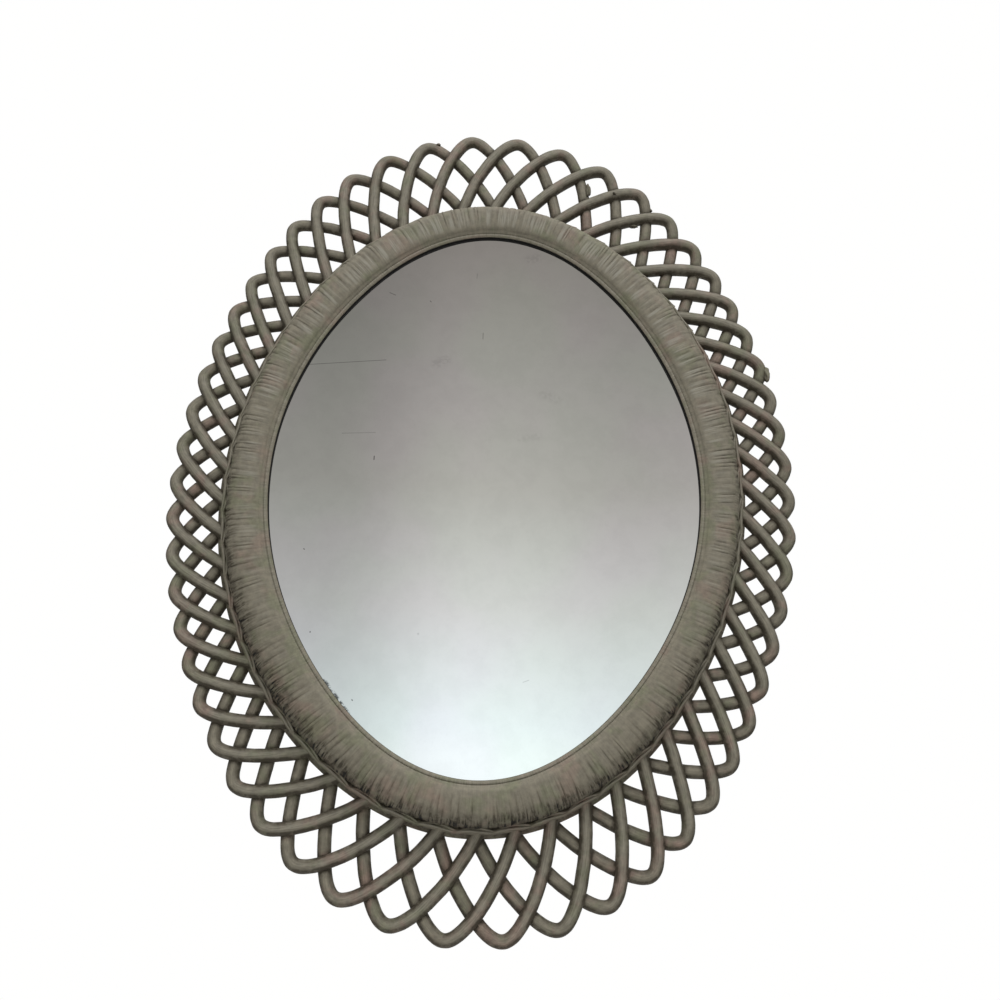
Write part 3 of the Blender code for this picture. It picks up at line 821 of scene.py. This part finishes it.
def make_thread(index, number, steps):
    """One thread of the bundle over a foot, tucked under the next bundles at its ends."""
    angle = spaced_angle(index + steps)
    share = np.abs(steps) / 0.5
    narrow = 1 - 0.65 * smooth_step(0.10, BUNDLE_HALF_LENGTH, np.abs(steps))
    twist = THREAD_TWIST * steps / BUNDLE_HALF_LENGTH + 2 * math.pi * number / 3 + 0.9
    tuck = smooth_step(0.34, BUNDLE_HALF_LENGTH, np.abs(steps))
    tuck = tuck * np.where(steps < 0, 1.0, 0.55)
    offset = BUNDLE_OFFSET + BUNDLE_SWING * share ** 2 + THREAD_SPREAD * narrow * np.cos(twist)
    depth = RIDGE_FRONT - THREAD_RADIUS - THREAD_STACK + THREAD_STACK * np.sin(twist) - BUNDLE_TUCK * tuck
    turns = np.linspace(0, 2 * math.pi, THREAD_SIDES, endpoint=False)
    reach = (offset + ring_spread(angle))[:, None] + THREAD_RADIUS * np.cos(turns)[None, :]
    height = depth[:, None] + THREAD_RADIUS * np.sin(turns)[None, :]
    x, z, _, _ = sight_point(angle[:, None], reach)
    return swept_object("frame_cord", np.stack([x, wall_y(height), z], axis=-1), False)


def make_cord(material):
    """Bundles of fine threads that follow each other along the ridge."""
    steps = np.linspace(-BUNDLE_HALF_LENGTH, BUNDLE_HALF_LENGTH, BUNDLE_POINTS)
    threads = []
    for index in range(ARCH_COUNT):
        threads += [make_thread(index, number, steps) for number in range(3)]
    cord = threads[0]
    combine(cord, threads[1:], "UNION")
    depth = HANGER_SETBACK - vertex_places(cord)[:, 1]
    # Painted shade on the threads' deep parts
    deep = 1 - smooth_step(RIDGE_FRONT - 0.0024, RIDGE_FRONT - 0.0008, depth)
    set_values(cord, "dirt_and_shade", THREAD_SHADE * deep)
    # Painted highlight on the threads' front tops
    set_values(cord, "wear_and_highlight", THREAD_HIGHLIGHT * smooth_step(RIDGE_FRONT - 0.0009, RIDGE_FRONT, depth))
    finish_piece(cord, 60, material)
    return cord


# Materials

class Shader:
    """A Principled material and short ways to add nodes to it."""

    def __init__(self, name):
        self.material = bpy.data.materials.new(name)
        self.material.use_nodes = True
        self.tree = self.material.node_tree
        self.principled = self.tree.nodes["Principled BSDF"]
        self.object_space = self.add("ShaderNodeTexCoord").outputs["Object"]

    def add(self, kind, **settings):
        """New node with some of its settings."""
        node = self.tree.nodes.new(kind)
        for key, value in settings.items():
            setattr(node, key, value)
        return node

    def feed(self, socket, value):
        """Link a socket to an output, or set it."""
        if isinstance(value, bpy.types.NodeSocket):
            self.tree.links.new(value, socket)
        elif isinstance(value, tuple) and socket.type == "RGBA":
            socket.default_value = (*value, 1.0)
        else:
            socket.default_value = value

    def noise(self, scale, detail=3.0, roughness=0.5, space=None, distortion=0.0):
        """Noise value."""
        node = self.add("ShaderNodeTexNoise")
        self.feed(node.inputs["Vector"], space or self.object_space)
        node.inputs["Scale"].default_value = scale
        node.inputs["Detail"].default_value = detail
        node.inputs["Roughness"].default_value = roughness
        node.inputs["Distortion"].default_value = distortion
        return node.outputs["Fac"]

    def value(self, name):
        """Number stored on the vertices."""
        return self.add("ShaderNodeAttribute", attribute_name=name).outputs["Fac"]

    def vector(self, name):
        """Vector stored on the vertices."""
        return self.add("ShaderNodeAttribute", attribute_name=name).outputs["Vector"]

    def compute(self, operation, first, second=0.0, clamp=False):
        """Result of a math node."""
        node = self.add("ShaderNodeMath", operation=operation, use_clamp=clamp)
        self.feed(node.inputs[0], first)
        self.feed(node.inputs[1], second)
        return node.outputs[0]

    def combine(self, operation, first, second=(0.0, 0.0, 0.0)):
        """Vector or number from a vector math node."""
        node = self.add("ShaderNodeVectorMath", operation=operation)
        self.feed(node.inputs[0], first)
        self.feed(node.inputs["Scale" if operation == "SCALE" else 1], second)
        return node.outputs["Value" if operation in ("DOT_PRODUCT", "LENGTH") else "Vector"]

    def remap(self, value, low, high, new_low=0.0, new_high=1.0):
        """Value stretched smoothly from one range to another."""
        node = self.add("ShaderNodeMapRange", interpolation_type="SMOOTHSTEP")
        self.feed(node.inputs["Value"], value)
        node.inputs["From Min"].default_value = low
        node.inputs["From Max"].default_value = high
        node.inputs["To Min"].default_value = new_low
        node.inputs["To Max"].default_value = new_high
        return node.outputs["Result"]

    def blend(self, factor, first, second):
        """Mix of two colours."""
        node = self.add("ShaderNodeMix", data_type="RGBA")
        self.feed(node.inputs[0], factor)
        self.feed(node.inputs[6], first)
        self.feed(node.inputs[7], second)
        return node.outputs[2]

    def bump(self, height, distance):
        """Normal bent by a height."""
        node = self.add("ShaderNodeBump")
        node.inputs["Distance"].default_value = distance
        self.feed(node.inputs["Height"], height)
        return node.outputs["Normal"]


def paint_material(name, streaked):
    """Matt taupe paint with rosy and olive blotches, grime and painted shade in the recesses and on shaded
    sides, a painted black shadow in the deepest gap, and worn high places with painted highlights.
    """
    shader = Shader(name)
    rosy = shader.remap(shader.noise(38, 3, 0.55, distortion=0.4), 0.50, 0.68)
    olive = shader.remap(shader.noise(52, 3, 0.55, distortion=0.4), 0.50, 0.66)
    colour = shader.blend(shader.compute("MULTIPLY", rosy, 0.5 if streaked else 0.85), TAUPE, ROSY)
    colour = shader.blend(shader.compute("MULTIPLY", olive, 0.7), colour, OLIVE)
    mottle = shader.noise(240, 4, 0.6)
    shade = shader.remap(mottle, 0.3, 0.7, 0.84, 1.12)
    wear_and_highlight = shader.value("wear_and_highlight")
    dirt_and_shade = shader.value("dirt_and_shade")
    grain = shader.vector("grain")
    if streaked:
        fine = shader.noise(700, 2, 0.6, grain)
        streaks = shader.remap(shader.noise(620, 3, 0.65, grain), 0.44, 0.60)
        patches = shader.remap(shader.noise(95, 3, 0.6), 0.36, 0.60, 0.35, 1.0)
        streaks = shader.compute("MULTIPLY", streaks, patches)
        streaks = shader.compute("MULTIPLY", streaks, shader.value("streaks"))
        dirt_and_shade = shader.compute("ADD", dirt_and_shade, shader.compute("MULTIPLY", streaks, 0.95))
    else:
        fine = shader.noise(1100, 3, 0.6, grain)
        rust = shader.compute("MULTIPLY", shader.value("rust"), shader.remap(mottle, 0.35, 0.65))
        colour = shader.blend(shader.compute("MULTIPLY", rust, 0.55), colour, RUST)
    depth = 0.06 if streaked else 0.14
    shade = shader.compute("MULTIPLY", shade, shader.remap(fine, 0.3, 0.7, 1 - depth, 1 + depth))
    colour = shader.combine("SCALE", colour, shade)
    patchy = shader.remap(shader.noise(130, 4, 0.65), 0.35, 0.65, 0.45, 1.0)
    # Lighter where worn and where the stored value is a painted highlight
    worn_and_lit = shader.compute("MULTIPLY", wear_and_highlight, shader.remap(fine, 0.38, 0.60, 0.15, 1.0), True)
    colour = shader.blend(shader.compute("MULTIPLY", worn_and_lit, 0.6), colour, WORN_AND_LIT)
    # Darker where grimy and where the stored value is painted shade
    grime_and_shade = shader.compute("MULTIPLY", dirt_and_shade, patchy, True)
    colour = shader.blend(shader.compute("MULTIPLY", grime_and_shade, 0.88), colour, GRIME_AND_SHADE)
    # Painted black shadow where the stored value passes 1.5, in the gap along the glass
    colour = shader.blend(shader.remap(dirt_and_shade, 1.5, 1.8), colour, GAP_SHADOW_BLACK)
    shader.feed(shader.principled.inputs["Base Color"], colour)
    shader.feed(shader.principled.inputs["Roughness"], shader.remap(mottle, 0.3, 0.7, 0.58, 0.74))
    shader.principled.inputs["Specular IOR Level"].default_value = 0.30
    height = shader.compute("MULTIPLY", shader.noise(900, 3, 0.6), 0.4)
    height = shader.compute("ADD", height, shader.compute("MULTIPLY", fine, 10 * depth))
    shader.feed(shader.principled.inputs["Normal"], shader.bump(height, 0.00018))
    return shader.material


def mark_cover(shader, mark, softness):
    """1 on a mark between two places on the glass, 0 beyond its half width."""
    start = (mark[0], 0.0, mark[1] + OVAL_CENTRE_Z)
    run = Vector((mark[2] - mark[0], 0.0, mark[3] - mark[1]))
    flat = shader.combine("MULTIPLY", shader.object_space, (1.0, 0.0, 1.0))
    gap = shader.combine("SUBTRACT", flat, start)
    along = shader.combine("DOT_PRODUCT", gap, tuple(run / run.length_squared))
    nearest = shader.combine("SCALE", tuple(run), shader.compute("MINIMUM", along, 1.0, True))
    distance = shader.combine("LENGTH", shader.combine("SUBTRACT", gap, nearest))
    return shader.remap(distance, mark[4] * softness, mark[4], 1.0, 0.0)


def mirror_material():
    """Silvered glass with faint mottling, a few old marks and a painted back."""
    shader = Shader("old_mirror")
    normal = shader.add("ShaderNodeNewGeometry").outputs["Normal"]
    split = shader.add("ShaderNodeSeparateXYZ")
    shader.feed(split.inputs[0], normal)
    front = shader.compute("LESS_THAN", split.outputs["Y"], -0.5)
    tint = shader.remap(shader.noise(9, 2, 0.5), 0.38, 0.62)
    silver = shader.blend(tint, GREEN_SILVER, ROSY_SILVER)
    haze = shader.remap(shader.noise(60, 5, 0.65), 0.35, 0.70, 1.0, 0.96)
    for mark in GLASS_MARKS:
        cover = mark_cover(shader, mark, 0.3)
        haze = shader.compute("MULTIPLY", haze, shader.remap(cover, 0, 1, 1.0, 1 - mark[5]))
    ragged = shader.remap(shader.noise(420, 4, 0.7), 0.40, 0.56)
    for mark in GLASS_SMUDGES:
        cover = shader.compute("MULTIPLY", mark_cover(shader, mark, 0.0), ragged)
        haze = shader.compute("MULTIPLY", haze, shader.remap(cover, 0, 1, 1.0, 1 - mark[5]))
    silver = shader.combine("SCALE", silver, haze)
    colour = shader.blend(front, SILVER_BACK, silver)
    shader.feed(shader.principled.inputs["Base Color"], colour)
    shader.feed(shader.principled.inputs["Metallic"], front)
    shader.feed(shader.principled.inputs["Roughness"], shader.remap(front, 0, 1, 0.6, 0.03))
    return shader.material


def board_material():
    """Brown hardboard with a pressed, fibrous face."""
    shader = Shader("brown_board")
    fibres = shader.noise(420, 5, 0.7, distortion=1.2)
    blotch = shader.remap(shader.noise(18, 3, 0.5), 0.35, 0.65)
    colour = shader.blend(shader.remap(fibres, 0.3, 0.7), BOARD_DARK, BOARD_LIGHT)
    colour = shader.blend(shader.compute("MULTIPLY", blotch, 0.35), colour, BOARD_BLOTCH)
    shader.feed(shader.principled.inputs["Base Color"], colour)
    shader.feed(shader.principled.inputs["Roughness"], shader.remap(fibres, 0.3, 0.7, 0.78, 0.92))
    shader.feed(shader.principled.inputs["Normal"], shader.bump(fibres, 0.0003))
    return shader.material


def steel_material(name, colour, tarnish):
    """Plated sheet steel with fine scratches and tarnish."""
    shader = Shader(name)
    scratches = shader.noise(2600, 3, 0.6)
    spots = shader.remap(shader.noise(300, 4, 0.65), 0.48, 0.66)
    mixed = shader.blend(shader.compute("MULTIPLY", spots, 0.6), colour, tarnish)
    shader.feed(shader.principled.inputs["Base Color"], mixed)
    shader.principled.inputs["Metallic"].default_value = 1.0
    shader.feed(shader.principled.inputs["Roughness"], shader.remap(spots, 0, 1, 0.34, 0.6))
    shader.feed(shader.principled.inputs["Normal"], shader.bump(scratches, 0.00004))
    return shader.material


def dress_node(name, material):
    """Give a solid of the frame its material."""
    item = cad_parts[name]
    if item.material_slots:
        for place in item.material_slots:
            place.material = material
    else:
        item.data.materials.append(material)


# Surroundings

FLOOR_Z = -1.60
FLOOR_HALF = 1.8
FLOOR_COLOUR = (0.80, 0.80, 0.79, 1.0)
BACKDROP_COLOUR = (1.0, 1.0, 0.995, 1.0)

# Place, size and watts of each light
LIGHTS = {
    "key": ((0.30, -1.1, 1.40), 0.9, 17),
    "fill": ((-1.1, -1.5, 0.4), 1.2, 3),
}

# Sideways part of a direction where the reflected room changes, and its strength before and after
ROOM_LEFT = (-0.14, 0.01, 0.66, 1.0)
ROOM_RIGHT = (0.04, 0.17, 1.0, 0.88)

# Height of a direction, from 0 straight down to 1 straight up, and the light from there
REFLECTED_ROOM = (
    (0.00, (0.55, 0.56, 0.55)),
    (0.47, (0.90, 0.97, 0.97)),
    (0.54, (1.05, 1.16, 1.17)),
    (0.555, (0.97, 1.07, 1.10)),
    (0.608, (0.74, 0.76, 0.745)),
    (0.663, (0.500, 0.487, 0.463)),
    (0.715, (0.376, 0.366, 0.345)),
    (0.77, (0.255, 0.243, 0.220)),
    (0.84, (0.45, 0.45, 0.43)),
    (1.00, (0.9, 0.9, 0.88)),
)
LIGHTING_ROOM = (
    (0.00, (0.10, 0.09, 0.08)),
    (0.42, (0.18, 0.17, 0.155)),
    (0.55, (0.42, 0.42, 0.405)),
    (0.78, (0.80, 0.81, 0.80)),
    (1.00, (1.30, 1.32, 1.31)),
)


def make_floor():
    """Pale floor well below the mirror."""
    half = FLOOR_HALF
    corners = [(-half, -half, FLOOR_Z), (half, -half, FLOOR_Z), (half, half, FLOOR_Z), (-half, half, FLOOR_Z)]
    floor = mesh_object("floor", corners, [(0, 1, 2, 3)])
    shader = Shader("floor")
    shader.principled.inputs["Base Color"].default_value = FLOOR_COLOUR
    shader.principled.inputs["Roughness"].default_value = 0.8
    floor.data.materials.append(shader.material)


def make_world():
    """White backdrop, a room that lights from above, and one for the mirror that is darker high up."""
    world = bpy.data.worlds.new("studio")
    bpy.context.scene.world = world
    world.use_nodes = True
    tree = world.node_tree
    tree.nodes.clear()
    link = tree.links.new
    space = tree.nodes.new("ShaderNodeTexCoord")
    split = tree.nodes.new("ShaderNodeSeparateXYZ")
    link(space.outputs["Generated"], split.inputs[0])
    scale = tree.nodes.new("ShaderNodeMapRange")
    scale.inputs["From Min"].default_value = -1.0
    link(split.outputs["Z"], scale.inputs["Value"])

    def room(stops):
        ramp = tree.nodes.new("ShaderNodeValToRGB")
        elements = ramp.color_ramp.elements
        while len(elements) < len(stops):
            elements.new(0.5)
        for element, (place, colour) in zip(elements, stops):
            element.position = place
            element.color = (*colour, 1.0)
        link(scale.outputs["Result"], ramp.inputs["Fac"])
        background = tree.nodes.new("ShaderNodeBackground")
        link(ramp.outputs["Color"], background.inputs["Color"])
        return background

    def level(low, high, low_value, high_value):
        step = tree.nodes.new("ShaderNodeMapRange")
        step.interpolation_type = "SMOOTHSTEP"
        step.inputs["From Min"].default_value = low
        step.inputs["From Max"].default_value = high
        step.inputs["To Min"].default_value = low_value
        step.inputs["To Max"].default_value = high_value
        link(split.outputs["X"], step.inputs["Value"])
        return step.outputs["Result"]

    def mixed(factor, first, second):
        mix = tree.nodes.new("ShaderNodeMixShader")
        link(factor, mix.inputs["Fac"])
        link(first, mix.inputs[1])
        link(second, mix.inputs[2])
        return mix.outputs[0]

    reflected = room(REFLECTED_ROOM)
    sideways = tree.nodes.new("ShaderNodeMath")
    sideways.operation = "MULTIPLY"
    link(level(*ROOM_LEFT), sideways.inputs[0])
    link(level(*ROOM_RIGHT), sideways.inputs[1])
    link(sideways.outputs[0], reflected.inputs["Strength"])
    lighting = room(LIGHTING_ROOM)
    white = tree.nodes.new("ShaderNodeBackground")
    white.inputs["Color"].default_value = BACKDROP_COLOUR
    path = tree.nodes.new("ShaderNodeLightPath")
    seen = mixed(path.outputs["Is Glossy Ray"], lighting.outputs[0], reflected.outputs[0])
    seen = mixed(path.outputs["Is Camera Ray"], seen, white.outputs[0])
    output = tree.nodes.new("ShaderNodeOutputWorld")
    link(seen, output.inputs["Surface"])


def make_light(name, place, size, power):
    """Soft square light that faces the middle of the mirror."""
    light = bpy.data.lights.new(name, "AREA")
    light.size = size
    light.energy = power
    item = bpy.data.objects.new(name, light)
    bpy.context.scene.collection.objects.link(item)
    target = Vector((0, 0, OVAL_CENTRE_Z))
    item.location = place
    item.rotation_euler = (target - Vector(place)).to_track_quat("-Z", "Y").to_euler()


def make_camera():
    """Camera below the middle of the mirror, looking up at it."""
    data = bpy.data.cameras.new("camera")
    data.lens = CAMERA_LENS
    data.sensor_width = CAMERA_SENSOR
    data.shift_x = CAMERA_SHIFT
    data.clip_end = 50
    camera = bpy.data.objects.new("camera", data)
    bpy.context.scene.collection.objects.link(camera)
    forward = Vector((
        math.sin(CAMERA_LOOKS_RIGHT) * math.cos(CAMERA_LOOKS_UP),
        math.cos(CAMERA_LOOKS_RIGHT) * math.cos(CAMERA_LOOKS_UP),
        math.sin(CAMERA_LOOKS_UP),
    ))
    right = forward.cross(Vector((0, 0, 1))).normalized()
    up = right.cross(forward)
    turned_right = right * math.cos(CAMERA_ROLL) + up * math.sin(CAMERA_ROLL)
    turned_up = turned_right.cross(forward)
    turn = Matrix((turned_right, turned_up, -forward)).transposed()
    place = Vector(CAMERA_PLACE) + Vector((0, 0, OVAL_CENTRE_Z))
    camera.matrix_world = Matrix.Translation(place) @ turn.to_4x4()
    bpy.context.scene.camera = camera


def main():
    """Dress the mirror and light it."""
    make_camera()
    make_world()
    make_floor()
    for name, (place, size, power) in LIGHTS.items():
        make_light(name, place, size, power)
    make_roll(paint_material("ribbed_paint", True))
    paint = paint_material("taupe_paint", False)
    make_border(paint)
    make_cord(paint)
    dress_node("mirror_glass", mirror_material())
    dress_node("backing_board", board_material())
    dress_node("hanger_plate", steel_material("brassed_steel", BRASS, BRASS_TARNISH))
    tack = steel_material("tack_steel", TACK_STEEL, TACK_TARNISH)
    dress_node("hanger_tack_left", tack)
    dress_node("hanger_tack_right", tack)
    bpy.context.scene.view_settings.view_transform = "Standard"


main()
